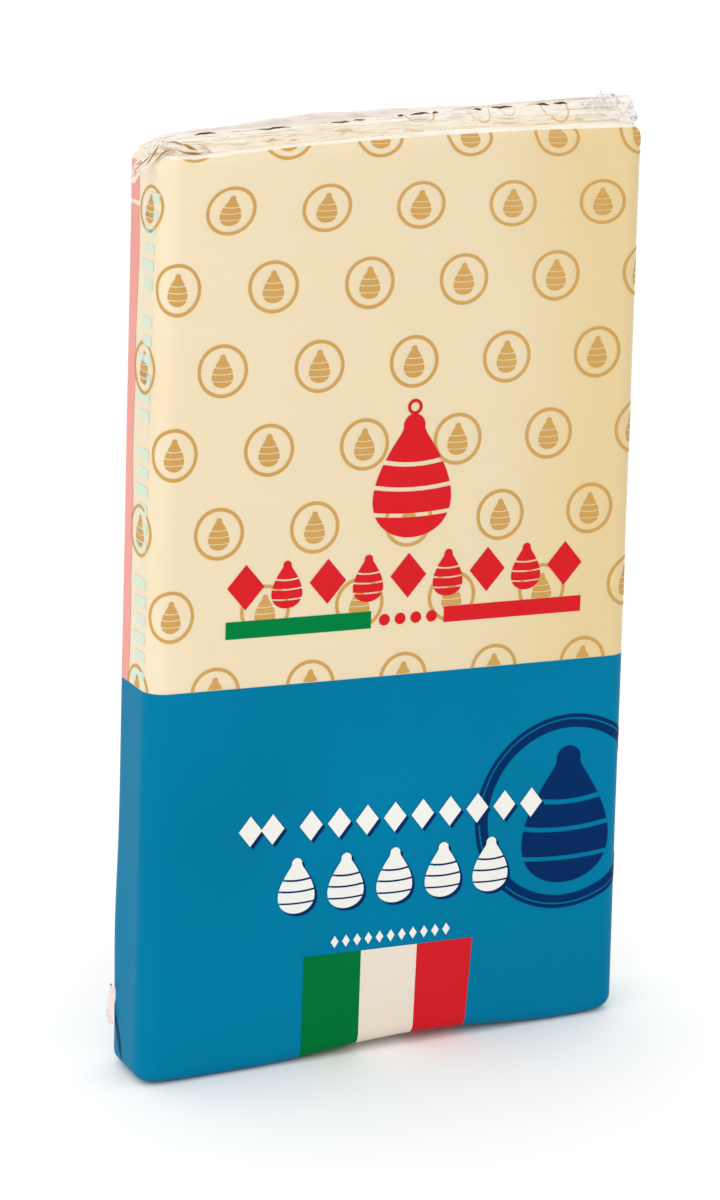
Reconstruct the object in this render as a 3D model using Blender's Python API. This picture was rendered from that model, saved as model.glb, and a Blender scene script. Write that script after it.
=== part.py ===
"""A slab of provolone, vacuum packed in a shrink bag and standing on its short end.

The pack is one closed solid in metres, +Z up, with its front towards -Y and its origin at the
middle of its base. A box with bevelled edges is the slab. Its top face is extruded twice: first
drawn in to a ridge, which is the bag's mouth closing over the cheese, and then straight up,
which is the bag's seal. Every point is then moved by one rule, which gives the slab its taper,
its lean, its crowned faces, its arched foot, its sloping top and the seal's two crumpled ears.
"""

import math

import bmesh
import bpy

# Driving dimensions of the slab
WIDTH_BASE = 0.1884
WIDTH_TOP = 0.1808
DEPTH_BASE = 0.0345
DEPTH_TOP = 0.0355
TOP_LEFT = 0.326
TOP_RIGHT = 0.330
LEAN = 0.0276  # sideways run towards +X for each metre of height

# Rounding of the upright edges, and of the edges round the foot and the top
UPRIGHT_RADIUS = 0.007
RIM_RADIUS = 0.006
ROUND_SEGMENTS = 5

# Bulge of the walls, greatest at mid height
FACE_CROWN = 0.0007
SIDE_CROWN = 0.0010

# The foot's arch between its two flat lands
ARCH_RISE = 0.0032
ARCH_CENTRE = 0.005
ARCH_HALF_SPAN = 0.056

# The bag's mouth and seal on top
MOUTH_RISE = 0.0045
SEAL_HEIGHT = 0.0050
SEAL_THICKNESS = 0.0024
SEAL_OVERHANG = 0.004
EAR_LENGTH = 0.020
EAR_THICKNESS = 0.0060
RIGHT_EAR_RISE = 0.0015
LEFT_EAR_DROP = 0.0060

# Spacing of the cuts that let the faces bend
CUTS_ACROSS = 30
CUTS_UP = 9
CUTS_DEEP = 2
SEAL_CUTS = 2

# The block before it is bent
WIDTH = (WIDTH_BASE + WIDTH_TOP) / 2
DEPTH = (DEPTH_BASE + DEPTH_TOP) / 2
HEIGHT = (TOP_LEFT + TOP_RIGHT) / 2

SHARP_ANGLE = math.radians(50)
FILM_CREAM = (0.86, 0.73, 0.50, 1.0)


def clear_scene():
    for obj in list(bpy.data.objects):
        bpy.data.objects.remove(obj, do_unlink=True)


def mix(start, end, share):
    return start + (end - start) * share


def smooth(share):
    """Eases 0 to 1 with a level start and end."""
    share = min(1.0, max(0.0, share))
    return share * share * (3.0 - 2.0 * share)


def bevelled_box():
    """The straight block with rounded upright edges and a rounded foot and top."""
    bm = bmesh.new()
    bmesh.ops.create_cube(bm, size=1.0)
    bmesh.ops.scale(bm, vec=(WIDTH, DEPTH, HEIGHT), verts=bm.verts)
    bmesh.ops.translate(bm, vec=(0.0, 0.0, HEIGHT / 2), verts=bm.verts)

    def bevel(edges, radius):
        bmesh.ops.bevel(
            bm,
            geom=edges,
            offset=radius,
            offset_type="OFFSET",
            segments=ROUND_SEGMENTS,
            profile=0.5,
            affect="EDGES",
        )

    bevel([e for e in bm.edges if e.verts[0].co.z != e.verts[1].co.z], UPRIGHT_RADIUS)
    bevel([e for e in bm.edges if e.verts[0].co.z == e.verts[1].co.z], RIM_RADIUS)
    return bm


def extrude_top(bm, rise, half_width, half_depth):
    """Extrudes the highest face by rise, and fits the new face to a half width and a half depth."""
    bm.faces.ensure_lookup_table()
    top = max(bm.faces, key=lambda face: face.calc_center_median().z)
    made = bmesh.ops.extrude_face_region(bm, geom=[top])
    bmesh.ops.delete(bm, geom=[top], context="FACES")
    verts = [item for item in made["geom"] if isinstance(item, bmesh.types.BMVert)]
    wide = half_width / max(vert.co.x for vert in verts)
    deep = half_depth / max(vert.co.y for vert in verts)
    bmesh.ops.scale(bm, vec=(wide, deep, 1.0), verts=verts)
    bmesh.ops.translate(bm, vec=(0.0, 0.0, rise), verts=verts)


def cut_level(bm, axis, places):
    """Cuts the whole mesh by planes across one axis."""
    normal = [1.0 if i == axis else 0.0 for i in range(3)]
    for place in places:
        point = [place if i == axis else 0.0 for i in range(3)]
        geometry = bm.verts[:] + bm.edges[:] + bm.faces[:]
        bmesh.ops.bisect_plane(bm, geom=geometry, dist=1e-6, plane_co=point, plane_no=normal)


def foot_height(x):
    """Height of the foot over the ground: a smooth arch between two flat lands."""
    span = (x - ARCH_CENTRE) / ARCH_HALF_SPAN
    return ARCH_RISE * (1.0 - span * span) ** 2 if abs(span) < 1.0 else 0.0


def top_height(x):
    """Height of the slab's slightly sloping top."""
    return mix(TOP_LEFT, TOP_RIGHT, 0.5 + x / WIDTH)


def bend(point):
    """Moves one point of the straight block, its mouth and its seal to its true place."""
    x, y, z = point
    level = min(1.0, z / HEIGHT)
    bulge = math.sin(math.pi * level)
    if z <= HEIGHT:
        across = max(0.0, 1.0 - (2.0 * x / WIDTH) ** 2)
        y *= mix(DEPTH_BASE, DEPTH_TOP, level) / DEPTH
        y += math.copysign(FACE_CROWN * across * bulge, y)
        x *= (mix(WIDTH_BASE, WIDTH_TOP, level) + 2.0 * SIDE_CROWN * bulge) / WIDTH
        z = mix(foot_height(x), top_height(x), level)
    else:
        over = z - HEIGHT
        into_ear = smooth(1.0 - (WIDTH / 2 + SEAL_OVERHANG - abs(x)) / EAR_LENGTH)
        closed = smooth(over / MOUTH_RISE)
        swell = mix(1.0, EAR_THICKNESS / SEAL_THICKNESS, into_ear * closed)
        y *= mix(DEPTH_TOP / DEPTH, swell, closed)
        x *= WIDTH_TOP / WIDTH
        ear = into_ear * over / (MOUTH_RISE + SEAL_HEIGHT)
        z = top_height(x) + over + ear * (RIGHT_EAR_RISE if x > 0.0 else -LEFT_EAR_DROP)
    return x + LEAN * z, y, z


def centre_on_base(bm):
    """Puts the middle of the solid's box, at its base, on the origin."""
    for axis in (0, 1):
        places = [vert.co[axis] for vert in bm.verts]
        middle = (min(places) + max(places)) / 2
        for vert in bm.verts:
            vert.co[axis] -= middle


def cheese_under_film():
    """Cream cheese seen through tight, glossy film."""
    material = bpy.data.materials.new("cheese_under_film")
    material.use_nodes = True
    shader = material.node_tree.nodes["Principled BSDF"]
    shader.inputs["Base Color"].default_value = FILM_CREAM
    shader.inputs["Roughness"].default_value = 0.25
    shader.inputs["Metallic"].default_value = 0.0
    return material


def build_pack(collection):
    bm = bevelled_box()
    seal_half_width = WIDTH / 2 + SEAL_OVERHANG
    extrude_top(bm, MOUTH_RISE, seal_half_width, SEAL_THICKNESS / 2)
    extrude_top(bm, SEAL_HEIGHT, seal_half_width, SEAL_THICKNESS / 2)

    reach = WIDTH / 2 - UPRIGHT_RADIUS
    cut_level(bm, 0, [mix(-reach, reach, i / CUTS_ACROSS) for i in range(CUTS_ACROSS + 1)])
    cut_level(bm, 1, [mix(-1, 1, i / (CUTS_DEEP + 1)) * DEPTH / 2 for i in range(1, CUTS_DEEP + 1)])
    cut_level(bm, 2, [HEIGHT * i / (CUTS_UP + 1) for i in range(1, CUTS_UP + 1)])
    seal_foot = HEIGHT + MOUTH_RISE
    cut_level(bm, 2, [HEIGHT + MOUTH_RISE * share for share in (0.25, 0.5, 0.75)])
    cut_level(bm, 2, [seal_foot + SEAL_HEIGHT * i / (SEAL_CUTS + 1) for i in range(1, SEAL_CUTS + 1)])

    for vert in bm.verts:
        vert.co = bend(vert.co)
    centre_on_base(bm)
    bmesh.ops.triangulate(bm, faces=[face for face in bm.faces if len(face.verts) > 4])
    bmesh.ops.recalc_face_normals(bm, faces=bm.faces)

    mesh = bpy.data.meshes.new("provolone_pack")
    bm.to_mesh(mesh)
    bm.free()
    mesh.shade_smooth()
    mesh.set_sharp_from_angle(angle=SHARP_ANGLE)
    mesh.materials.append(cheese_under_film())
    collection.objects.link(bpy.data.objects.new("provolone_pack", mesh))


def main():
    clear_scene()
    collection = bpy.data.collections.new("packed_provolone")
    bpy.context.scene.collection.children.link(collection)
    build_pack(collection)


main()
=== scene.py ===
"""A slab of provolone in a printed shrink bag, standing on its short end.

The bag is one skin drawn round the slab. Every surface here is that skin, read at a way round
the pack and a way up it: around() turns a distance round the pack into a place in plan, and
on_pack() carries that outline up the walls, over the rounded rims, in over the cheese to the
seal, and up the seal. The cheese is the same skin a little further in. Each ink is a thin layer
of grid patches laid on the skin a little further out, so its edges are true edges.

All sizes are in metres. The pack's own frame is tilted a little to the right against the ground,
because the foot was cut out of square.
"""

import math

import bmesh
import bpy
import numpy as np
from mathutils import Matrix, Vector


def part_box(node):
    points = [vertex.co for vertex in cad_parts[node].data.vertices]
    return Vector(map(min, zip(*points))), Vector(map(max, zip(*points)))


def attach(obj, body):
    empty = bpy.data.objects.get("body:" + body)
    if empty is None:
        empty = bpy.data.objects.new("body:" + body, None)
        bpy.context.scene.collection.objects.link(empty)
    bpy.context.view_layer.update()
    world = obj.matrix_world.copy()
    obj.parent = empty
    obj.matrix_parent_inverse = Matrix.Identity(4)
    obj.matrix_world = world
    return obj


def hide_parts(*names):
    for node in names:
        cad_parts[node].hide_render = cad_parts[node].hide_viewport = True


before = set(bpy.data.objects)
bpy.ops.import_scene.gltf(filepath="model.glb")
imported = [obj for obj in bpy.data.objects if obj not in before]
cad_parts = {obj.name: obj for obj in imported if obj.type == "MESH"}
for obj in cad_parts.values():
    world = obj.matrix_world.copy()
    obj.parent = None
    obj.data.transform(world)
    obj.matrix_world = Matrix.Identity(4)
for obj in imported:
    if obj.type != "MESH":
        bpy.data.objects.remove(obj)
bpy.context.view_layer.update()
NODE = "provolone_pack"
LOW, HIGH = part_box(NODE)
MM = 0.001

# The slab in its own frame: across from its centre line, up from the ground, deep from its middle
TILT = math.radians(1.9)
WIDTH_BASE = 188.4 * MM
WIDTH_TOP = 180.8 * MM
DEPTH_BASE = 32.8 * MM
DEPTH_TOP = 35.6 * MM
DEPTH_SAG = 1.2 * MM
CENTRE_DRIFT = -1.5 * MM  # the centre line's way to the left, from the foot to the top
CORNER = 7.5 * MM
RIM = 5.0 * MM
TOP_AT_LEFT = 324.8 * MM
TOP_RISE = 7.0 * MM
TOP_RISE_RUN = 150.0 * MM
ENDS_RISE = 0.9 * MM
ARCH_RISE = 3.6 * MM
ARCH_CENTRE = 11.0 * MM
ARCH_HALF_SPAN = 62.0 * MM

# The bag's mouth, gathered into a ridge over the cheese's top
RIDGE_LOW = 4.3 * MM
RIDGE_LOWEST_AT = -30.0 * MM
SEAL_THICKNESS = 0.9 * MM
SEAL_OVERHANG = 1.5 * MM
SEAL_DEEP = 0.5 * MM
SEAL_REACH = 4.0 * MM
LIP_PLACE = 6.0 * MM  # the bead's way in over the rim
LIP_RISE = 0.75 * MM

# Print, in the pack's own frame: across from the foot's centre line, and up from the ground
FIELD_TOP = 140.5 * MM  # where the blue field ends
LAYER = 0.05 * MM  # each ink lies this much further out than the one below it


def mix(start, end, share):
    return start + (end - start) * share


def smooth(share):
    """Eases 0 to 1 with a level start and end."""
    share = np.clip(share, 0.0, 1.0)
    return share * share * (3.0 - 2.0 * share)


def hump(distance, width):
    """A bell of height 1 that fades over width."""
    return np.exp(-((distance / width) ** 2))


# ---------------------------------------------------------------- the skin


def half_width_at(up):
    """Half the slab's width, which falls evenly towards the top."""
    return mix(WIDTH_BASE, WIDTH_TOP, np.clip(up / TOP_AT_LEFT, 0.0, 1.0)) / 2


def half_depth_at(up):
    """Half the slab's depth, which changes evenly from foot to top, less a slight waist."""
    level = np.clip(up / TOP_AT_LEFT, 0.0, 1.0)
    return (mix(DEPTH_BASE, DEPTH_TOP, level) - DEPTH_SAG * np.sin(math.pi * level)) / 2


def top_line(across):
    """Height of the front's top edge: it climbs to the right along a flattening curve."""
    left = -WIDTH_TOP / 2 + 13.0 * MM
    share = np.clip((across - left) / TOP_RISE_RUN, 0.0, 1.0)
    return TOP_AT_LEFT + TOP_RISE * (1.0 - (1.0 - share) ** 2)


def foot_line(across):
    """Height of the foot in the tilted frame: level on the ground, with a shallow arch and both
    ends a little raised."""
    span = np.clip((across - ARCH_CENTRE) / ARCH_HALF_SPAN, -1.0, 1.0)
    arch = ARCH_RISE * (1.0 - span**2) ** 2
    ends = ENDS_RISE * smooth((np.abs(across) - 76.0 * MM) / (18.0 * MM))
    return (arch + ends + across * math.sin(TILT)) / math.cos(TILT)


def half_round(up):
    """Half the way round the pack at a height."""
    return 2.0 * (half_width_at(up) + half_depth_at(up) - 2.0 * CORNER) + math.pi * CORNER


def around(way, up, inset):
    """A rounded rectangle in plan. way is the distance round the pack from the middle of the
    front, to the right if positive: straight to the corner, a quarter turn, along the side, a
    quarter turn, and along the back. inset draws the whole outline in."""
    flat = half_width_at(up) - CORNER
    side = 2.0 * (half_depth_at(up) - CORNER)
    quarter = 0.5 * math.pi * CORNER
    gone = np.abs(way)
    turn = np.clip((gone - flat) / CORNER, 0.0, 0.5 * math.pi)
    along_side = np.clip(gone - flat - quarter, 0.0, side)
    second_turn = np.clip((gone - flat - quarter - side) / CORNER, 0.0, 0.5 * math.pi)
    along_back = np.maximum(gone - flat - 2.0 * quarter - side, 0.0)
    radius = np.maximum(CORNER - inset, 0.0)
    extra = np.maximum(inset - CORNER, 0.0)
    across = np.minimum(gone, flat) - along_back
    across = across * (1.0 - extra / flat) + radius * (np.sin(turn) - (1.0 - np.cos(second_turn)))
    deep = -half_depth_at(up) + inset + along_side * (1.0 - 2.0 * extra / side)
    deep = deep + radius * ((1.0 - np.cos(turn)) + np.sin(second_turn))
    return np.sign(way) * across, deep


def relief(way, up):
    """How far the skin stands off the plain slab: crowned faces, soft dents, and the swelling over
    the folded corner at the lower left."""
    level = np.clip(up / TOP_AT_LEFT, 0.0, 1.0)
    wide = half_width_at(up)
    back_way = half_round(up) - np.abs(way)
    crown = np.clip(1.0 - (np.minimum(np.abs(way), back_way) / wide) ** 2, 0.0, 1.0)
    out = 0.7 * MM * crown * np.sin(math.pi * level)
    dents = np.sin(way / (31 * MM) + 1.3) * np.sin(up / (47 * MM) + 0.4)
    dents = dents + 0.6 * np.sin(way / (17 * MM) + up / (60 * MM)) * np.sin(up / (23 * MM) + 2.0)
    out = out + 0.11 * MM * dents
    fold = hump(way + wide + 24.0 * MM, 11.0 * MM) * hump(up - 50.0 * MM, 26.0 * MM)
    out = out + 0.7 * MM * fold
    return out


def on_pack(way, up, lift=0.0):
    """The skin in the pack's own frame, for arrays of ways round and ways up.

    The way up follows the skin: up the wall, round the rim by its arc, in over the cheese to
    the seal, and up the seal; below the foot's rim it runs in under the slab."""
    way, up = np.broadcast_arrays(np.asarray(way, float), np.asarray(up, float))
    plain_across, _ = around(way, up, 0.0)
    top = top_line(plain_across)
    foot = foot_line(plain_across)
    over = up - (top - RIM)
    under = (foot + RIM) - up
    rise_turn = np.clip(over / RIM, 0.0, 0.5 * math.pi)
    foot_turn = np.clip(under / RIM, 0.0, 0.5 * math.pi)
    inset = RIM * (2.0 - np.cos(rise_turn) - np.cos(foot_turn))
    height = np.where(over > 0.0, top - RIM + RIM * np.sin(rise_turn), up)
    height = np.where(under > 0.0, foot + RIM - RIM * np.sin(foot_turn), height)
    level = np.clip(up, foot, top)
    off = lift + lip(way, over)
    stand = relief(way, level) * np.cos(rise_turn) + off * np.cos(rise_turn)
    across, deep = around(way, level, inset - stand * np.cos(foot_turn))
    height = height + off * np.sin(rise_turn) - off * np.sin(foot_turn)

    past = np.maximum(over - 0.5 * math.pi * RIM, 0.0)
    below = np.maximum(under - 0.5 * math.pi * RIM, 0.0)
    reach = half_depth_at(level) - RIM
    facing = np.where(np.abs(way) < half_round(level) / 2, -1.0, 1.0)
    end = half_width_at(level) + SEAL_OVERHANG
    gone = np.minimum(np.abs(way), half_round(level) - np.abs(way))
    seal_across = np.sign(way) * np.minimum(gone, end)

    closing = np.clip(past / reach, 0.0, 1.0)
    rising = np.clip((past - reach) / SEAL_REACH, 0.0, 1.0)
    seal_deep = SEAL_DEEP + facing * (SEAL_THICKNESS / 2 + lift) * (1.0 - smooth(rising * 4 - 3))
    seal_deep = seal_deep + seal_wave(seal_across, closing, rising)
    height = height + tent(seal_across, closing, facing) + rising * seal_height(seal_across)
    across = mix(across, seal_across, closing)
    deep = mix(deep, seal_deep, closing)

    tucked = np.clip(below / reach, 0.0, 1.0)
    across = mix(across, np.sign(way) * np.minimum(gone, end - RIM), tucked)
    deep = mix(deep, 0.0, tucked)
    return across, deep, height


def lip(way, over):
    """A bead of gathered film along the front's top edge, a little uneven, with faded ends."""
    uneven = 1.0 + 0.25 * np.sin(way / (9 * MM)) + 0.15 * np.sin(way / (3.7 * MM))
    place = LIP_PLACE + 0.5 * MM * np.sin(way / (29 * MM))
    ends = smooth((way + 78 * MM) / (14 * MM)) * smooth((90 * MM - way) / (12 * MM))
    return LIP_RISE * uneven * ends * hump(over - place, 0.8 * MM)


def ridge_height(across):
    """Height of the ridge over the top edge: least left of the middle, more towards both ends."""
    gone = np.hypot(across - RIDGE_LOWEST_AT, 15 * MM) - 15 * MM
    return (RIDGE_LOW + 0.032 * gone) * smooth((across + 97 * MM) / (18 * MM))


def tent(across, closing, facing):
    """Height of the film over the cheese's top: it climbs to the ridge, with long creases that
    run beside it and short ones that cross them. Behind the ridge it billows."""
    climb = ridge_height(across) * closing**1.7
    billow = np.where(facing > 0, 1.5, 0.0) * MM * np.sin(math.pi * closing) * closing
    wander = 0.06 * np.sin(across / (23 * MM) + 0.7 * facing) + 0.03 * np.sin(across / (9 * MM))
    place = closing + wander
    creases = 0.5 * hump(place - 0.22, 0.05) - 0.5 * hump(place - 0.38, 0.08)
    creases = creases + 0.5 * hump(place - 0.55, 0.045) + 0.4 * hump(place - 0.76, 0.04)
    cross = np.sin(across / (1.9 * MM) + 5.0 * closing) * np.sin(across / (7.1 * MM) + 1.0)
    cross = cross + np.sin(across / (1.1 * MM) - 9.0 * closing) * np.sin(across / (11 * MM))
    window = np.sin(math.pi * np.clip(closing, 0.0, 1.0)) ** 0.7
    return climb + billow + MM * window * (creases + 0.2 * cross)


def seal_height(across):
    """The seal's height over the ridge: it stands up left of the middle and is nearly nil beyond."""
    uneven = 0.25 * np.sin(across / (9 * MM) + 0.5) + 0.15 * np.sin(across / (3.7 * MM) + 2.0)
    return MM * (0.6 + 2.7 * hump(across + 27 * MM, 30 * MM) + uneven)


def seal_wave(across, closing, rising):
    """The seal's sideways wander, which grows towards its free edge."""
    wave = np.sin(across / (15 * MM) + 0.8) + 0.7 * np.sin(across / (6.3 * MM))
    return MM * wave * (0.5 * closing**3 + 0.4 * rising)


def to_world(across, deep, up):
    """Tilts the pack's own frame to the ground, with the foot's left end at the frame's side."""
    base_x = LOW.x + WIDTH_BASE / 2
    leaning = across + CENTRE_DRIFT * up / TOP_AT_LEFT
    x = base_x + leaning * math.cos(TILT) + up * math.sin(TILT)
    z = -leaning * math.sin(TILT) + up * math.cos(TILT)
    return np.stack([x, deep + 0.0 * x, z], axis=-1)


def skin(way, up, lift=0.0):
    """Points of the skin, or of a layer lifted off it, on the ground."""
    return to_world(*on_pack(way, up, lift))


# ---------------------------------------------------------------- making meshes


def grid_faces(rows, columns, first=0):
    """Quads of a grid of points that lie row by row."""
    row = np.arange(rows - 1)[:, None] * columns
    column = np.arange(columns - 1)[None, :]
    corner = (first + row + column).ravel()
    return np.stack([corner, corner + 1, corner + columns + 1, corner + columns], axis=1)


def make_mesh(name, points, faces, materials, face_material=None, merge=1e-6, sharp=None):
    """An object from arrays of points and quads, with its doubles merged."""
    mesh = bpy.data.meshes.new(name)
    mesh.from_pydata(points.reshape(-1, 3).tolist(), [], faces.tolist())
    for material in materials:
        mesh.materials.append(material)
    if face_material is not None:
        mesh.polygons.foreach_set("material_index", face_material.astype(np.int32))
    merge_doubles(mesh, merge)
    mesh.shade_smooth()
    if sharp is not None:
        mesh.set_sharp_from_angle(angle=sharp)
    piece = bpy.data.objects.new(name, mesh)
    bpy.context.scene.collection.objects.link(piece)
    return piece


def merge_doubles(mesh, distance):
    bm = bmesh.new()
    bm.from_mesh(mesh)
    bmesh.ops.remove_doubles(bm, verts=bm.verts, dist=distance)
    bmesh.ops.dissolve_degenerate(bm, edges=bm.edges, dist=distance / 10)
    bm.to_mesh(mesh)
    bm.free()


def finish_piece(piece):
    """The piece belongs to the pack's one body and stands for its solid."""
    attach(piece, "root")
    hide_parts(NODE)


# ---------------------------------------------------------------- materials


def linear(code):
    """An sRGB hex value as linear red, green, blue and 1."""
    value = np.array([int(code[i : i + 2], 16) for i in (1, 3, 5)]) / 255.0
    value = np.where(value <= 0.04045, value / 12.92, ((value + 0.055) / 1.055) ** 2.4)
    return (*value.tolist(), 1.0)


def new_material(name):
    material = bpy.data.materials.new(name)
    material.use_nodes = True
    material.node_tree.nodes.clear()
    return material


def add(material, kind, settings=None, **inputs):
    """Adds a node. settings are its properties; an input is a value or another node's output. An
    input's name has underscores for spaces, or is n0, n1 and so on for its place in the list."""
    node = material.node_tree.nodes.new(kind)
    for key, value in (settings or {}).items():
        setattr(node, key, value)
    for key, value in inputs.items():
        numbered = key[0] == "n" and key[1:].isdigit()
        socket = node.inputs[int(key[1:]) if numbered else key.replace("_", " ")]
        if isinstance(value, bpy.types.NodeSocket):
            material.node_tree.links.new(value, socket)
        else:
            socket.default_value = value
    return node


def output(material, shader):
    add(material, "ShaderNodeOutputMaterial", Surface=shader)
    return material


def ramp(material, factor, stops):
    """A colour ramp through (position, hex) stops."""
    node = add(material, "ShaderNodeValToRGB", Fac=factor)
    elements = node.color_ramp.elements
    while len(elements) < len(stops):
        elements.new(0.5)
    for element, (position, code) in zip(elements, stops):
        element.position = position
        element.color = linear(code)
    return node.outputs["Color"]


def object_noise(material, size, detail=2.0, roughness=0.5):
    """Noise on object coordinates with blobs of a real size."""
    place = add(material, "ShaderNodeTexCoord").outputs["Object"]
    return add(
        material, "ShaderNodeTexNoise", Vector=place, Scale=1.0 / size, Detail=detail, Roughness=roughness
    ).outputs["Fac"]


def gradient(material, axis, start, end):
    """A place along one object axis as 0 to 1."""
    place = add(material, "ShaderNodeTexCoord").outputs["Object"]
    along = add(material, "ShaderNodeSeparateXYZ", Vector=place).outputs[axis]
    return add(material, "ShaderNodeMapRange", Value=along, From_Min=start, From_Max=end).outputs[0]


def cheese_material():
    """Provolone paste: a smooth, close, waxy cut face, cream with faint warmer clouds, with painted
    light and shade across it: palest at the left edge, where the key lamp falls, and darker and
    yellower to the right, away from it."""
    material = new_material("provolone_paste_cut_smooth")
    clouds = add(material, "ShaderNodeMath", n0=object_noise(material, 60 * MM, 3.0), n1=0.25)
    clouds.operation = "MULTIPLY"
    # The ramp from left to right is painted light and shade: lit pale at the left, shaded darker and
    # yellower at the right.
    place = add(material, "ShaderNodeMath", n0=gradient(material, "X", -0.115, 0.105), n1=clouds.outputs[0])
    stops = [(0.12, "#F3EBD5"), (0.3, "#EEDFC1"), (0.8, "#EADCBC"), (1.0, "#E8D4A4")]
    colour = ramp(material, place.outputs[0], stops)
    shader = add(
        material,
        "ShaderNodeBsdfPrincipled",
        Base_Color=colour,
        Roughness=0.5,
        IOR=1.45,
        Subsurface_Weight=0.12,
        Subsurface_Radius=(1.0, 0.6, 0.3),
        Subsurface_Scale=2 * MM,
    )
    return output(material, shader.outputs[0])


def ink_material(name, code, darker, size=70 * MM, roughness=0.35, gloss=0.02):
    """Flexographic ink printed inside the film: even, with a faint change where it is stretched."""
    material = new_material(name)
    stretch = object_noise(material, size, 2.0)
    colour = ramp(material, stretch, [(0.3, code), (0.75, darker)])
    shader = add(
        material,
        "ShaderNodeBsdfPrincipled",
        Base_Color=colour,
        Roughness=roughness,
        IOR=1.5,
        Specular_IOR_Level=gloss,
    )
    return output(material, shader.outputs[0])


def clear_film_material():
    """Clear polyolefin shrink film drawn tight: seen through, with a glossy skin."""
    material = new_material("clear_shrink_film_tight")
    fresnel = add(material, "ShaderNodeFresnel", IOR=1.3).outputs[0]
    through = add(material, "ShaderNodeBsdfTransparent", Color=linear("#FFFFFF")).outputs[0]
    gloss = add(material, "ShaderNodeBsdfGlossy", Color=linear("#FFFFFF"), Roughness=0.2).outputs[0]
    shader = add(material, "ShaderNodeMixShader", n0=fresnel, n1=through, n2=gloss)
    return output(material, shader.outputs[0])


def gathered_film_material(name, tint, painted_crease_shade, thin, thick, fine=1.0 * MM):
    """The same film where several layers are gathered: streaks along the gathers, from clear to
    milky, with sharp glints, and dark lines of painted shade that stand for its creases. thin and
    thick are the least and the most of it that is milky; painted_crease_shade is the colour of that
    painted shade."""
    material = new_material(name)
    place = add(material, "ShaderNodeTexCoord").outputs["Object"]
    drawn = add(material, "ShaderNodeMapping", Vector=place, Scale=(0.10, 1.0, 1.0)).outputs[0]
    streaks = add(
        material, "ShaderNodeTexNoise", Vector=drawn, Scale=1.0 / (1.6 * MM), Detail=3.0, Roughness=0.6
    ).outputs["Fac"]
    share = add(
        material,
        "ShaderNodeMapRange",
        Value=streaks,
        From_Min=0.35,
        From_Max=0.65,
        To_Min=thin,
        To_Max=thick,
    ).outputs[0]
    lines = add(
        material, "ShaderNodeTexNoise", Vector=drawn, Scale=1.0 / fine, Detail=2.0, Roughness=0.5
    ).outputs["Fac"]
    # Painted shade: the noise lines take the crease colour, as if the gathers' creases were in shade.
    colour = ramp(material, lines, [(0.36, painted_crease_shade), (0.46, tint), (1.0, tint)])
    through = add(material, "ShaderNodeBsdfTransparent", Color=linear("#FFFFFF")).outputs[0]
    film = add(
        material, "ShaderNodeBsdfPrincipled", Base_Color=colour, Roughness=0.14, IOR=1.5
    ).outputs[0]
    shader = add(material, "ShaderNodeMixShader", n0=share, n1=through, n2=film)
    return output(material, shader.outputs[0])


# ---------------------------------------------------------------- the cheese and the bag

# Columns round the pack, as shares of each stretch between the corners
FRONT_COLUMNS = 150
CORNER_COLUMNS = 14
SIDE_COLUMNS = 22


def columns_round(up):
    """Ways round the pack for every column at each height, from the middle of the back round by
    the left, the front and the right: even steps on each flat and in each corner."""
    flat = half_width_at(up) - CORNER
    side = 2.0 * (half_depth_at(up) - CORNER)
    quarter = 0.5 * math.pi * CORNER + 0.0 * flat
    steps = [
        (FRONT_COLUMNS // 2, flat),
        (CORNER_COLUMNS, quarter),
        (SIDE_COLUMNS, side),
        (CORNER_COLUMNS, quarter),
        (FRONT_COLUMNS // 2, flat),
    ]
    ways, start = [], 0.0 * flat
    for count, length in steps:
        shares = np.arange(count) / count
        ways.append(start[:, None] + length[:, None] * shares[None, :])
        start = start + length
    right = np.concatenate(ways + [start[:, None]], axis=1)
    return np.concatenate([-right[:, :0:-1], right], axis=1)


def skin_grid(rows, lift):
    """Points of the skin on a grid. Each row is a function of the way across, because the foot
    and the top aren't level."""
    middle = columns_round(np.full(len(rows), 0.5 * TOP_AT_LEFT))
    across, _ = around(middle, 0.5 * TOP_AT_LEFT, 0.0)
    up = np.stack([row(across[i]) for i, row in enumerate(rows)])
    return skin(ways_at(middle, np.clip(up, 0.0, TOP_AT_LEFT)), up, lift)


def ways_at(middle, up):
    """Stretches the ways round at mid height to those of another height, flat by flat."""
    reference = 0.5 * TOP_AT_LEFT
    flat_now = half_width_at(up) - CORNER
    flat_then = half_width_at(reference) - CORNER
    side_now = 2.0 * (half_depth_at(up) - CORNER)
    side_then = 2.0 * (half_depth_at(reference) - CORNER)
    quarter = 0.5 * math.pi * CORNER
    gone = np.abs(middle)
    front = np.minimum(gone, flat_then) * flat_now / flat_then
    first = np.clip(gone - flat_then, 0.0, quarter)
    side = np.clip(gone - flat_then - quarter, 0.0, side_then) * side_now / side_then
    second = np.clip(gone - flat_then - quarter - side_then, 0.0, quarter)
    back = np.maximum(gone - flat_then - 2 * quarter - side_then, 0.0) * flat_now / flat_then
    return np.sign(middle) * (front + first + side + second + back)


def wall_rows(low, high, count):
    """Rows of the wall between two heights, each a function of the way across."""
    return [
        (lambda across, share=share: mix(low(across), high(across), share))
        for share in np.linspace(0.0, 1.0, count)
    ]


QUARTER_RIM = 0.5 * math.pi * RIM
LIP_FOOT = LIP_PLACE - 1.3 * MM
LIP_HEAD = LIP_PLACE + 1.0 * MM
UNDER = 0.5 * DEPTH_BASE - RIM
OVER = 0.5 * DEPTH_TOP - RIM


def foot_tucked(across):
    return foot_line(across) + RIM - QUARTER_RIM - UNDER


def foot_rim_low(across):
    return foot_line(across) + RIM - QUARTER_RIM


def foot_rim_high(across):
    return foot_line(across) + RIM


def field_top(across):
    return FIELD_TOP + 0.0 * across


def top_rim_low(across):
    return top_line(across) - RIM


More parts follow.
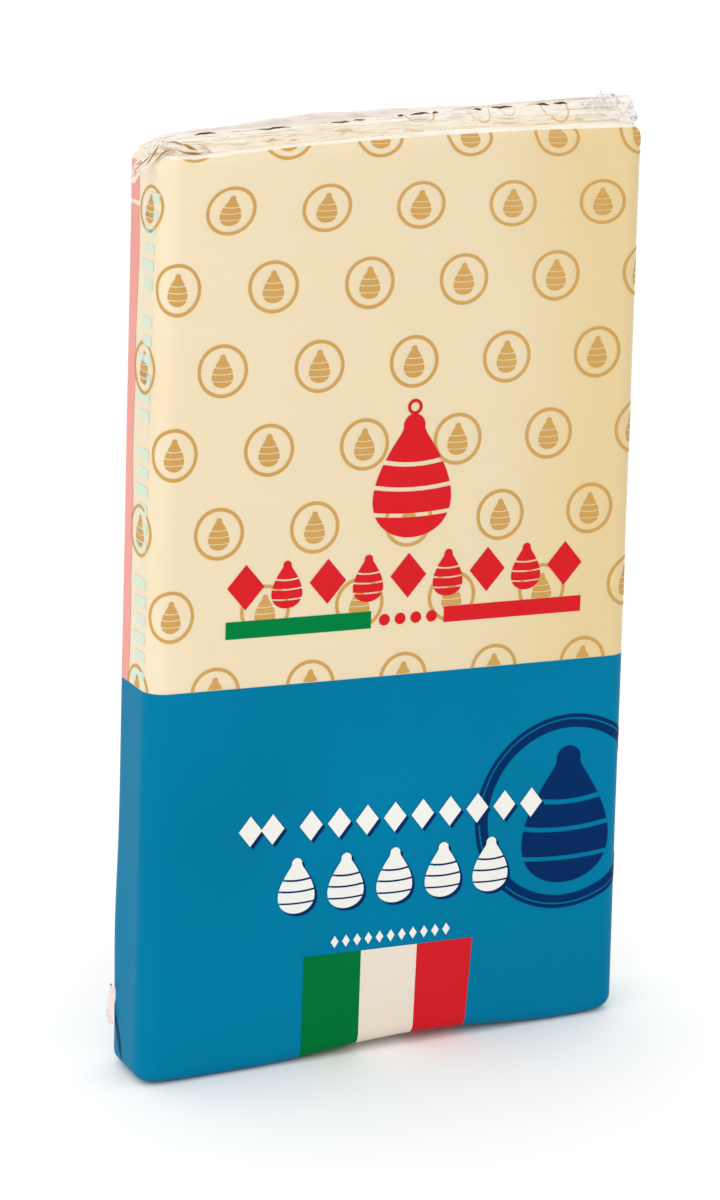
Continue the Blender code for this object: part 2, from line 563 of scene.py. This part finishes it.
def top_rim_high(across):
    return top_line(across) - RIM + QUARTER_RIM


def lip_foot(across):
    return top_line(across) - RIM + LIP_FOOT


def lip_head(across):
    return top_line(across) - RIM + LIP_HEAD


def seal_foot(across):
    return top_rim_high(across) + OVER


def seal_top(across):
    return seal_foot(across) + SEAL_REACH


def bag(film, gathered, blue, seal, bead):
    """The shrink bag: blue ink to the field's top, clear above, gathered over the cheese."""
    stages = [
        (foot_tucked, foot_rim_low, 8, 2),
        (foot_rim_low, foot_rim_high, 9, 2),
        (foot_rim_high, field_top, 46, 2),
        (field_top, top_rim_low, 60, 0),
        (top_rim_low, lip_foot, 9, 0),
        (lip_foot, lip_head, 8, 4),
        (lip_head, top_rim_high, 3, 1),
        (top_rim_high, seal_foot, 40, 1),
        (seal_foot, seal_top, 8, 3),
    ]
    rows, kinds = [], []
    for low, high, count, kind in stages:
        stage = wall_rows(low, high, count)
        rows += stage[:-1]
        kinds += [kind] * (count - 1)
    rows.append(seal_top)
    points = skin_grid(rows, 0.0)
    count_rows, count_columns = points.shape[:2]
    faces = grid_faces(count_rows, count_columns)
    face_kind = np.repeat(kinds, count_columns - 1)
    return make_mesh("shrink_bag", points, faces, [film, gathered, blue, seal, bead], face_kind, merge=2e-5)


CHEESE_LIFT = -0.10 * MM


def cheese(material):
    """The slab itself: the skin a little further in, closed over its flat top."""
    stages = [
        (foot_tucked, foot_rim_low, 6),
        (foot_rim_low, foot_rim_high, 8),
        (foot_rim_high, top_rim_low, 70),
        (top_rim_low, top_rim_high, 12),
    ]
    rows = []
    for low, high, count in stages:
        rows += wall_rows(low, high, count)[:-1]
    rows.append(top_rim_high)
    points = skin_grid(rows, CHEESE_LIFT)
    closing = np.linspace(0.0, 1.0, 8)[1:, None, None]
    middle = points[-1] * np.array([1.0, 0.0, 1.0])
    points = np.concatenate([points, mix(points[-1][None], middle[None], closing)])
    return make_mesh("cheese_slab", points, grid_faces(*points.shape[:2]), [material], merge=2e-5)


# ---------------------------------------------------------------- inks


def print_place(across, up):
    """Where print lands on the skin. The print keeps to the foot's line while the slab's own line
    drifts. Near the top the shrunk film has pulled it down and to the left, more at the left
    end, and near the foot it is drawn in from the right."""
    way = across + PRINT_CENTRE - CENTRE_DRIFT * np.clip(up / TOP_AT_LEFT, 0.0, 1.0)
    high = np.clip((up - SHRUNK_FROM) / (LATTICE_TOP - SHRUNK_FROM), 0.0, None)
    slant = SHRUNK_SLANT * high * (up - SHRUNK_FROM) * np.clip(0.5 - across / WIDTH_TOP, 0.0, 1.0)
    way = way + slant - SHRUNK_ASIDE * high**2
    way = way + CORNER_PULL * smooth((-across - 72 * MM) / (34 * MM))
    down = SHRUNK_BY * high**1.5 + SHRUNK_RIGHT * high * np.clip(across / (70 * MM), 0.0, 1.0)
    low = np.clip((40 * MM - up) / (50 * MM), 0.0, 1.0)
    way = way - DRAWN_IN * low * smooth(across / (34 * MM))
    return way, up - down


PRINT_CENTRE = -0.7 * MM
SHRUNK_FROM = 280.5 * MM
SHRUNK_BY = 6.0 * MM
SHRUNK_RIGHT = 2.0 * MM
SHRUNK_ASIDE = 4.0 * MM
SHRUNK_SLANT = 0.22
DRAWN_IN = 2.6 * MM
CORNER_PULL = 2.8 * MM  # print round the left corner sits this much further forward


class Ink:
    """Gathers grid patches of one ink, laid on the skin, into one thin layer. Nothing of it
    goes below its floor, or over the lip if it is cut there."""

    def __init__(self, name, lift, floor=None, cut_at_lip=False):
        self.name, self.lift, self.floor, self.cut_at_lip = name, lift, floor, cut_at_lip
        self.points, self.faces, self.count = [], [], 0

    def lay(self, across, up):
        """Adds one patch from grids of print places."""
        self.lay_ways(*print_place(*np.broadcast_arrays(across, up)))

    def lay_ways(self, way, up):
        """Adds one patch from grids of ways round the skin and up it."""
        if self.floor is not None:
            up = np.maximum(up, self.floor)
        if self.cut_at_lip:
            across, _ = around(way, np.minimum(up, TOP_AT_LEFT), 0.0)
            up = np.minimum(up, lip_foot(across))
        self.faces.append(grid_faces(*way.shape, first=self.count))
        self.points.append(skin(way, up, self.lift).reshape(-1, 3))
        self.count += way.size

    def made(self, material):
        points = np.concatenate(self.points)
        faces = np.concatenate(self.faces)
        return make_mesh(self.name, points, faces, [material], merge=2e-6)


def bar(ink, left, low, right, high, columns=2, rows=2):
    """A rectangle of print."""
    across, up = np.meshgrid(np.linspace(left, right, columns), np.linspace(low, high, rows))
    ink.lay(across, up)


def ring(ink, centre, radius, line, steps=48):
    """A ring of print: the angle by the two edges of its line."""
    angle = np.linspace(0.0, 2.0 * math.pi, steps + 1)
    reach = np.array([radius + line / 2, radius - line / 2])[:, None]
    ink.lay(centre[0] + reach * np.cos(angle), centre[1] + reach * np.sin(angle))


def disc(ink, centre, radius, steps=24):
    """A filled disc: the angle by three radii."""
    angle = np.linspace(0.0, 2.0 * math.pi, steps + 1)
    reach = np.array([radius, radius * 0.5, 0.0])[:, None]
    ink.lay(centre[0] + reach * np.cos(angle), centre[1] + reach * np.sin(angle))


def lozenge(ink, centre, half_wide, half_high):
    """A diamond: its width falls evenly from the middle to both points."""
    share = np.linspace(-1.0, 1.0, 7)[:, None]
    side = np.linspace(-1.0, 1.0, 3)[None, :]
    ink.lay(centre[0] + half_wide * (1 - np.abs(share)) * side, centre[1] + half_high * share + 0 * side)


def pear_width(share):
    """Half width of a hanging provolone for its height 1, from its foot: a root gives the round
    foot, a nearly even fall the shoulders, and a small circle the head."""
    body = 0.92 * np.sqrt(share) * (1.0 - share) ** 1.1
    head = np.sqrt(np.clip(HEAD_RADIUS**2 - (share - 1.0 + HEAD_RADIUS) ** 2, 0.0, 1.0))
    return np.maximum(body, head)


HEAD_RADIUS = 0.095
STRING_GAPS = (0.20, 0.42, 0.62)  # heights at which string binds the cheese
STRING_WIDTH = 0.035


def pear(ink, centre, height, bound=True, steps=9):
    """A hanging provolone in outline, filled, with a gap wherever a string binds it."""
    gaps = STRING_GAPS if bound else ()
    lows = [0.0] + [gap + STRING_WIDTH / 2 for gap in gaps]
    highs = [gap - STRING_WIDTH / 2 for gap in gaps] + [1.0]
    side = np.linspace(-1.0, 1.0, 7)[None, :]
    for low, high in zip(lows, highs):
        count = max(steps, int(40 * (high - low)))
        share = mix(low, high, (1.0 - np.cos(np.linspace(0.0, math.pi, count))) / 2)[:, None]
        sag = (0.03 if bound else 0.0) * (side**2 - 1.0)
        place = share + sag * np.clip(4.0 * share * (1.0 - share), 0.0, 1.0)
        across = centre[0] + height * pear_width(share) * side
        ink.lay(across, centre[1] + height * (place - 0.5))


COLUMN_STEP = 35.5 * MM
ROW_STEP = 28.2 * MM
ROWS = 8
LATTICE_LEFT = -86.15 * MM
LATTICE_TOP = 336.9 * MM
MEDAL_RADIUS = 8.6 * MM
MEDAL_LINE = 1.25 * MM
MEDALS_REACH = 112.0 * MM
EMBLEM = (3.6 * MM, 212.0 * MM)


def medallion_places():
    """Centres of the medallions on a lattice whose odd rows stand half a step to the right. They
    stop where the back's own print begins."""
    places = []
    for row in range(ROWS):
        for column in range(-1, 7):
            across = LATTICE_LEFT + COLUMN_STEP * (column + 0.5 * (row % 2))
            up = LATTICE_TOP - ROW_STEP * row
            if abs(across) < MEDALS_REACH:
                places.append((across, up))
    return places


def medallions():
    """Gold rings, each round a small bound provolone."""
    ink = Ink("gold_medallions", LAYER, floor=FIELD_TOP, cut_at_lip=True)
    for across, up in medallion_places():
        ring(ink, (across, up), MEDAL_RADIUS, MEDAL_LINE)
        pear(ink, (across, up), 11.4 * MM)
    return ink.made(ink_material("gold_ink", "#C79C59", "#C0934D"))


def emblem_and_band():
    """The red print: a large hanging provolone with its loop, a row of lozenges and small
    provolones under it, a bar and four dots."""
    ink = Ink("red_emblem_and_band", 2 * LAYER)
    pear(ink, EMBLEM, 44.0 * MM, steps=12)
    ring(ink, (EMBLEM[0], EMBLEM[1] + 24.4 * MM), 2.2 * MM, 1.2 * MM, steps=28)
    for place in range(9):
        centre = (mix(-58.0, 64.5, place / 8) * MM, 176.4 * MM)
        if place % 2:
            pear(ink, centre, 17.0 * MM)
        else:
            lozenge(ink, centre, 6.9 * MM, 8.1 * MM)
    bar(ink, 17.5 * MM, 158.3 * MM, 71.7 * MM, 164.1 * MM, columns=12)
    for place in range(4):
        disc(ink, (mix(-5.4, 12.8, place / 3) * MM, 161.0 * MM), 2.1 * MM)
    return ink.made(ink_material("red_ink", "#CF2128", "#CA1E26"))


def green_bar():
    """The green bar that mirrors the red one under the row."""
    ink = Ink("green_bar", 2 * LAYER)
    bar(ink, -65.1 * MM, 158.3 * MM, -10.5 * MM, 164.5 * MM, columns=12)
    return ink.made(ink_material("green_ink", "#007A3C", "#007539"))


# The three upright fields near the foot, from left to right
FIELD_EDGES = (-32.4 * MM, -10.1 * MM, 11.9 * MM, 34.0 * MM)
FIELDS_TOP = 39.2 * MM


def upright_fields():
    """Green, pale and red fields side by side, from their top edge down round the foot."""
    low = -9.0 * MM
    colours = (
        ("green_field", "#006F34", "#006A31"),
        ("pale_field", "#E3D7C9", "#DFD2C1"),
        ("red_field", "#CC2029", "#C71D27"),
    )
    pieces = []
    for place, (name, code, darker) in enumerate(colours):
        ink = Ink(name, 2 * LAYER)
        bar(ink, FIELD_EDGES[place], low, FIELD_EDGES[place + 1], FIELDS_TOP, 9, 34)
        pieces.append(ink.made(ink_material(name + "_ink", code, darker)))
    return pieces


def ornament_rows(ink, shift=0.0):
    """Two lozenges and nine, five provolones under them, and a row of small lozenges."""
    across = [-54.0, -45.6] + [mix(-31.0, 55.4, place / 8) for place in range(9)]
    for place in across:
        lozenge(ink, (place * MM + shift, 88.2 * MM - shift), 4.4 * MM, 5.6 * MM)
    for place in range(5):
        centre = (mix(-36.0, 40.0, place / 4) * MM + shift, 66.4 * MM - shift)
        pear(ink, centre, 20.6 * MM, bound=shift == 0.0)
    return ink


def white_ornaments():
    """The white rows, with eleven small lozenges over the upright fields."""
    ink = ornament_rows(Ink("white_ornaments", 5 * LAYER))
    for place in range(11):
        lozenge(ink, (mix(-20.6, 23.2, place / 10) * MM, 43.7 * MM), 1.5 * MM, 2.3 * MM)
    return ink.made(ink_material("white_ink", "#E6E6E1", "#E2E1DB"))


def ornament_shadows(navy):
    """Drop shadows of the two large rows, a little down and to the right."""
    return ornament_rows(Ink("navy_shadows", 4 * LAYER), shift=1.1 * MM).made(navy)


def side_roundel(navy):
    """A double ring with a hanging provolone in it, which runs round the right edge."""
    ink = Ink("navy_roundel", 3 * LAYER)
    centre = (70.0 * MM, 83.2 * MM)
    ring(ink, centre, 36.1 * MM, 1.4 * MM, steps=160)
    ring(ink, centre, 33.3 * MM, 3.0 * MM, steps=160)
    pear(ink, (centre[0], centre[1] - 1.0 * MM), 52.0 * MM, steps=14)
    return ink.made(navy)


def side_marks():
    """Pale marks in a column down each narrow side, turned to be read from the side."""
    ink = Ink("pale_side_marks", LAYER, floor=FIELD_TOP)
    for side in (-1, 1):
        for place in range(28):
            if place % 7 == 6:
                continue
            long = (11.5, 9.0, 10.5, 8.0, 9.7)[place % 5] * MM
            up = mix(144.0, 318.0, place / 27) * MM
            ends = sorted((side * 97.5 * MM, side * (97.5 * MM + long)))
            bar(ink, ends[0], up, ends[1], up + 3.6 * MM, columns=12)
    return ink.made(ink_material("pale_teal_ink", "#CCDAC8", "#C8D6C3"))


PANEL_EDGE = 108.8 * MM


def back_panel():
    """The back's printed field, which shows as a band on each narrow side."""
    ink = Ink("salmon_back_panel", LAYER, floor=FIELD_TOP)
    for side in (-1, 1):
        for low, high, rows in ((FIELD_TOP, 306.0 * MM, 100), (307.5 * MM, 321.0 * MM, 12)):
            share, up = np.meshgrid(np.linspace(0.0, 1.0, 90), np.linspace(low, high, rows))
            ways = side * mix(PANEL_EDGE, half_round(up), share if side > 0 else 1.0 - share)
            wander = 0.5 * MM * np.sin(up / (17 * MM)) + 0.35 * MM * np.sin(up / (7 * MM) + 1.0)
            near = np.clip(1.0 - (np.abs(ways) - PANEL_EDGE) / (12 * MM), 0.0, 1.0)
            ink.lay_ways(ways + side * wander * near, up)
    return ink.made(ink_material("salmon_ink", "#E39E96", "#DD948B"))


def back_marks():
    """A plain pale label on the back's field."""
    ink = Ink("pale_back_marks", 2 * LAYER)
    middle = half_round(200 * MM)
    up = np.linspace(205 * MM, 265 * MM, 20)[:, None]
    ink.lay_ways(middle - np.linspace(50 * MM, -0.1 * MM, 20)[None, :] + 0 * up, up + np.zeros((1, 20)))
    ink.lay_ways(-middle + np.linspace(-0.1 * MM, 50 * MM, 20)[None, :] + 0 * up, up + np.zeros((1, 20)))
    return ink.made(ink_material("pale_label_ink", "#E9E3DA", "#E4DDD2"))


def top_place(across, closing):
    """Way up the skin for a share of the way in from the rim to the ridge."""
    return top_rim_high(across) + closing * OVER


def ridge_strokes():
    """Gold print caught in the ridge and seen edge on: a short broken dark stroke at every column. Its dark
    brown is partly the stacked layers of ink and partly painted shade of the edge-on view.
    """
    ink = Ink("brown_strokes_on_ridge", 2 * LAYER)
    starts = (-73.0, -50.0, -23.5, -15.0, 1.8, 6.5, 15.0, 30.5, 37.0, 54.5, 61.0)
    lengths = (8.0, 12.0, 7.5, 4.5, 2.5, 7.5, 2.2, 3.0, 8.5, 5.0, 5.5)
    for start, length in zip(starts, lengths):
        across = np.linspace(start, start + length, 14)[None, :] * MM
        wander = 0.010 * np.sin(across / (1.4 * MM)) + 0.008 * np.sin(across / (0.6 * MM))
        half = 0.034 * np.sin(np.linspace(0.15, math.pi - 0.15, 14))[None, :]
        closing = 0.93 + wander + np.linspace(-1.0, 1.0, 5)[:, None] * half
        ink.lay_ways(across + 0 * closing, top_place(across, closing))
    # Dark brown: gold print in stacked layers, darkened further as painted shade where it is seen edge on.
    return ink.made(ink_material("dark_gold_print_and_painted_shade", "#5B4226", "#4F3920"))


# Start across in millimetres, length, and the share of the way in to the ridge
VALLEY_STROKES = (
    (-61, 9, 0.3),
    (-50, 5, 0.42),
    (-44, 12, 0.36),
    (-22, 9, 0.5),
    (0, 6, 0.2),
    (50, 9, 0.2),
)


def caught_rings():
    """Parts of medallions caught in the folds over the top: the near halves of squashed rings,
    and short worn pieces of line in the valley before the ridge."""
    ink = Ink("gold_rings_in_folds", LAYER)
    angle = np.linspace(math.pi, 2.0 * math.pi, 30)[None, :]
    for centre, wide, deep in ((10.0, 5.5, 0.34), (32.0, 4.0, 0.5), (43.0, 3.0, 0.3), (61.0, 5.2, 0.6)):
        reach = np.array([1.0, 0.91])[:, None]
        across = (centre + wide * reach * np.cos(angle)) * MM
        ink.lay_ways(across, top_place(across, 0.92 + deep * reach * np.sin(angle)))
    for start, length, closing in VALLEY_STROKES:
        across = np.linspace(start, start + length, 16)[None, :] * MM
        wander = 0.05 * np.sin(across / (1.1 * MM))
        half = 0.028 * np.sin(np.linspace(0.2, math.pi - 0.2, 16))[None, :]
        edges = np.array([-1, 1])[:, None] * half
        ink.lay_ways(across + 0 * edges, top_place(across, closing + wander + edges))
    return ink.made(ink_material("worn_gold_ink", "#D3AC7A", "#C8A06C"))


# ---------------------------------------------------------------- loose film


def film_sheet(name, points, material):
    """One piece of loose film from a grid of points."""
    return make_mesh(name, points.reshape(-1, 3), grid_faces(*points.shape[:2]), [material])


def ear(material):
    """The gathered ear at the top right: a fan of film in sharp pleats with a ragged free edge,
    up one face and down the other."""
    wide = np.linspace(0.0, 1.0, 120)[None, :]
    way = np.linspace(0.0, 2.0, 70)[:, None]
    out = 1.0 - np.abs(1.0 - way)
    across = (69.0 + 23.5 * wide + 1.5 * out * np.sin(9 * wide)) * MM
    ragged = 1.0 + 0.16 * np.sin(13 * wide + 1.0) + 0.10 * np.sin(31 * wide) + 0.05 * np.sin(71 * wide)
    round_end = np.sqrt(np.clip(1.0 - wide**6, 0.0, 1.0)) * smooth(wide * 5 + 0.1)
    low = -2.5 - 4.0 * wide**3
    high = 8.0 * ragged * round_end + 1.0
    up = top_line(across) + (low + (high - low) * out) * MM
    pleat = np.abs((wide * 7.5 + 0.5 * np.sin(4 * out + 6 * wide)) % 1.0 - 0.5) * 4.0 - 1.0
    fine = np.abs((wide * 19.0 + 1.3 * out + 0.4 * np.sin(9 * out)) % 1.0 - 0.5) * 4.0 - 1.0
    cross = np.sin(14 * out + 9 * np.sin(5 * wide))
    deep = -3.0 + (1.2 * pleat + 0.5 * fine + 0.35 * cross) * (0.35 + 0.65 * out)
    apart = 0.9 * np.sin(0.5 * math.pi * out) * (1.0 - out)
    deep = deep + np.where(way > 1.0, apart, -apart)
    return film_sheet("film_ear", to_world(across, deep * MM, up), material)


def twist(along, turn, lift=0.0):
    """The pleat gathered over the top left corner: a crumpled rope. Its middle line climbs from
    the back edge and bends over the corner, and its radius waves with the pleats."""
    across = (-97.0 + 27.0 * along**1.2) * MM
    rise = -9.5 + 12.5 * np.sin(0.5 * math.pi * np.clip(along / 0.62, 0.0, 1.0)) - 3.5 * along**3
    up = TOP_AT_LEFT + rise * MM + 0.6 * MM * np.sin(17 * along)
    deep = (-9.0 + 3.0 * np.cos(3.0 * along)) * MM
    slope_across = np.gradient(across, axis=0)
    slope_up = np.gradient(up, axis=0)
    size = np.hypot(slope_across, slope_up)
    taper = np.sin(math.pi * np.clip(0.06 + 0.9 * along, 0.0, 1.0)) ** 0.5
    pleats = 0.28 * np.cos(3 * turn + 5 * along) + 0.12 * np.cos(7 * turn - 16 * along)
    radius = 2.3 * MM * taper * (1.0 + pleats) + lift
    out = radius * np.cos(turn)
    return to_world(
        across - out * slope_up / size, deep - radius * np.sin(turn), up + out * slope_across / size
    )


def corner_twist(material):
    """The twist itself, over its whole length and all the way round."""
    along = np.linspace(0.0, 1.0, 80)[:, None]
    turn = np.linspace(0.0, 2.0 * math.pi, 56)[None, :]
    return film_sheet("film_twist", twist(along, turn), material)


# Start and end along the twist, then the line's place round it, its swing and half its width
TWIST_STROKES = (
    (0.03, 0.42, 0.3, 0.5, 0.12),
    (0.20, 0.60, 1.2, 0.6, 0.15),
    (0.45, 0.97, 0.5, 0.7, 0.20),
    (0.55, 0.93, 1.9, 0.5, 0.14),
    (0.30, 0.50, 2.4, 0.6, 0.20),
    (0.62, 0.80, 1.2, 0.9, 0.22),
)


def twist_strokes(material):
    """Print caught in the twist's pleats: dark lines that follow it."""
    points, faces = [], []
    for start, end, middle, swing, half in TWIST_STROKES:
        along = np.linspace(start, end, 40)[:, None]
        width = half * np.sin(np.linspace(0.2, math.pi - 0.2, 40))[:, None] * np.array([[1.0, 0.0, -1.0]])
        turn = middle + swing * np.sin(7 * along + middle) + width
        faces.append(grid_faces(*turn.shape, first=sum(len(part) for part in points)))
        points.append(twist(along, turn, 0.08 * MM).reshape(-1, 3))
    return make_mesh("brown_strokes_on_twist", np.concatenate(points), np.concatenate(faces), [material])


def fold_tab(material):
    """The tab of film left standing behind the folded lower left corner."""
    up = np.linspace(0.0, 1.0, 24)[:, None]
    out = np.linspace(0.0, 1.0, 12)[None, :]
    width = 5.5 * np.sin(math.pi * np.clip(0.12 + 0.76 * up, 0.0, 1.0)) ** 0.6
    deep = (9.0 + width * out) * MM
    across = (-94.6 - 1.3 * np.sin(math.pi * out) - 0.6 * np.sin(6 * up)) * MM
    height = (12.5 + 14.5 * up) * MM
    return film_sheet("film_tab", to_world(across + 0 * deep, deep, height + 0 * deep), material)


def painted_fold_shadow(navy):
    """Painted shadow of the fold that runs down the left side to the foot: a lens-shaped navy strip."""
    # Painted shadow: a strip of navy ink where the folded film shades the left side.
    ink = Ink("navy_painted_fold_shadow", LAYER)
    share = np.linspace(0.0, 1.0, 24)[:, None]
    side = np.linspace(-1.0, 1.0, 5)[None, :]
    middle = mix(-120.5, -110.0, share) + 1.5 * np.sin(math.pi * share)
    way = middle + 1.7 * side * np.sin(math.pi * share) ** 0.7
    ink.lay_ways(way * MM, mix(21.0, 0.5, share) * MM + 0 * side)
    return ink.made(navy)


# ---------------------------------------------------------------- studio


def studio():
    """A pale floor and pale surroundings, brighter behind, under soft lamps."""
    scene = bpy.context.scene
    scene.view_settings.view_transform = "Standard"
    world = bpy.data.worlds.new("pale_studio")
    world.use_nodes = True
    world.node_tree.nodes.clear()
    place = add(world, "ShaderNodeTexCoord").outputs["Generated"]
    deep = add(world, "ShaderNodeSeparateXYZ", Vector=place).outputs["Y"]
    strength = add(
        world,
        "ShaderNodeMapRange",
        Value=deep,
        From_Min=-0.6,
        From_Max=0.6,
        To_Min=WORLD_FRONT,
        To_Max=WORLD_BACK,
    ).outputs[0]
    shader = add(world, "ShaderNodeBackground", Color=(1.0, 1.0, 1.0, 1.0), Strength=strength)
    add(world, "ShaderNodeOutputWorld", Surface=shader.outputs[0])
    scene.world = world

    floor_material = new_material("pale_painted_floor")
    shader = add(floor_material, "ShaderNodeBsdfPrincipled", Base_Color=linear("#F8F8F6"), Roughness=0.8)
    output(floor_material, shader.outputs[0])
    reach = 9.0
    corners = np.array([[-reach, -reach, 0], [reach, -reach, 0], [-reach, reach, 0], [reach, reach, 0]])
    floor = make_mesh("floor", corners, grid_faces(2, 2), [floor_material])

    lamp("overhead_sky_panel", "SUN", (-0.4, -0.9, 2.3), math.radians(70.0), 0.5)
    lamp("key_softbox", "AREA", (-1.0, -1.8, 1.2), 1.4, 9.0)
    lamp("side_strip", "AREA", (-1.6, 0.1, 0.7), 0.5, 1.2)


# Strength of the pale surroundings: in front of the pack, and behind it
WORLD_FRONT = 0.85
WORLD_BACK = 1.12


def lamp(name, kind, place, size, power):
    """A soft white lamp aimed at the pack. size is a side in metres, or a sun's angle."""
    data = bpy.data.lights.new(name, kind)
    if kind == "SUN":
        data.angle = size
    else:
        data.size = size
    data.energy = power
    lamp_object = bpy.data.objects.new(name, data)
    lamp_object.location = place
    aim(lamp_object, (0.0, 0.0, 0.16))
    bpy.context.scene.collection.objects.link(lamp_object)


def aim(thing, target):
    way = Vector(target) - Vector(thing.location)
    thing.rotation_euler = way.to_track_quat("-Z", "Y").to_euler()


def camera():
    """A long lens from the left of the front, a little above the pack."""
    data = bpy.data.cameras.new("camera")
    data.sensor_fit = "VERTICAL"
    data.sensor_height = 36.0
    data.lens = 111.0
    thing = bpy.data.objects.new("camera", data)
    azimuth, elevation, distance = math.radians(23.94), math.radians(15.0), 1.286
    target = np.array([-0.0151, -0.018, 0.1695])
    way = np.array(
        [
            math.sin(azimuth) * math.cos(elevation),
            math.cos(azimuth) * math.cos(elevation),
            -math.sin(elevation),
        ]
    )
    thing.location = target - distance * way
    thing.rotation_euler = (math.radians(90.0) - elevation, 0.0, -azimuth)
    bpy.context.scene.collection.objects.link(thing)
    bpy.context.scene.camera = thing


camera()
studio()

clear_film = clear_film_material()
# Each gathered film's second colour is painted shade for its creases: warm brown on the twist, grey on the
# crumpled ear.
gathered_film = gathered_film_material("clear_shrink_film_gathered", "#EFE8DC", "#BDAA8C", 0.25, 0.65)
seal_film = gathered_film_material("clear_shrink_film_sealed", "#E9DFD9", "#D6CAC2", 0.55, 0.8)
bead_film = gathered_film_material("clear_shrink_film_bead", "#F3EEE4", "#EAE2D2", 0.6, 0.85)
tab_film = gathered_film_material("clear_shrink_film_tab", "#EAD3CF", "#E2C9C5", 0.8, 0.95)
twisted_film = gathered_film_material(
    "clear_shrink_film_twisted", "#ECE6DF", "#A98A60", 0.25, 0.6, 1.5 * MM
)
crumpled_film = gathered_film_material(
    "clear_shrink_film_crumpled", "#E6E3E0", "#77706A", 0.2, 0.6, 1.4 * MM
)
blue_ink = ink_material("blue_field_ink", "#00769D", "#006E93")
# Navy print ink; it also paints the shadow of the fold on the left side.
navy_ink_and_painted_shadow = ink_material("navy_ink_and_painted_shadow", "#042B5E", "#042757")
brown_ink = ink_material("brown_gold_overprint", "#B08147", "#8A6032", size=6 * MM)

slab = cheese(cheese_material())
films = [
    bag(clear_film, gathered_film, blue_ink, seal_film, bead_film),
    ear(crumpled_film),
    corner_twist(twisted_film),
    fold_tab(tab_film),
]
prints = [
    medallions(),
    emblem_and_band(),
    green_bar(),
    *upright_fields(),
    white_ornaments(),
    ornament_shadows(navy_ink_and_painted_shadow),
    side_roundel(navy_ink_and_painted_shadow),
    side_marks(),
    back_panel(),
    back_marks(),
    ridge_strokes(),
    caught_rings(),
    twist_strokes(brown_ink),
    painted_fold_shadow(navy_ink_and_painted_shadow),
]
for piece in (slab, *films, *prints):
    finish_piece(piece)
for piece in (*films, *prints):
    piece.visible_shadow = False
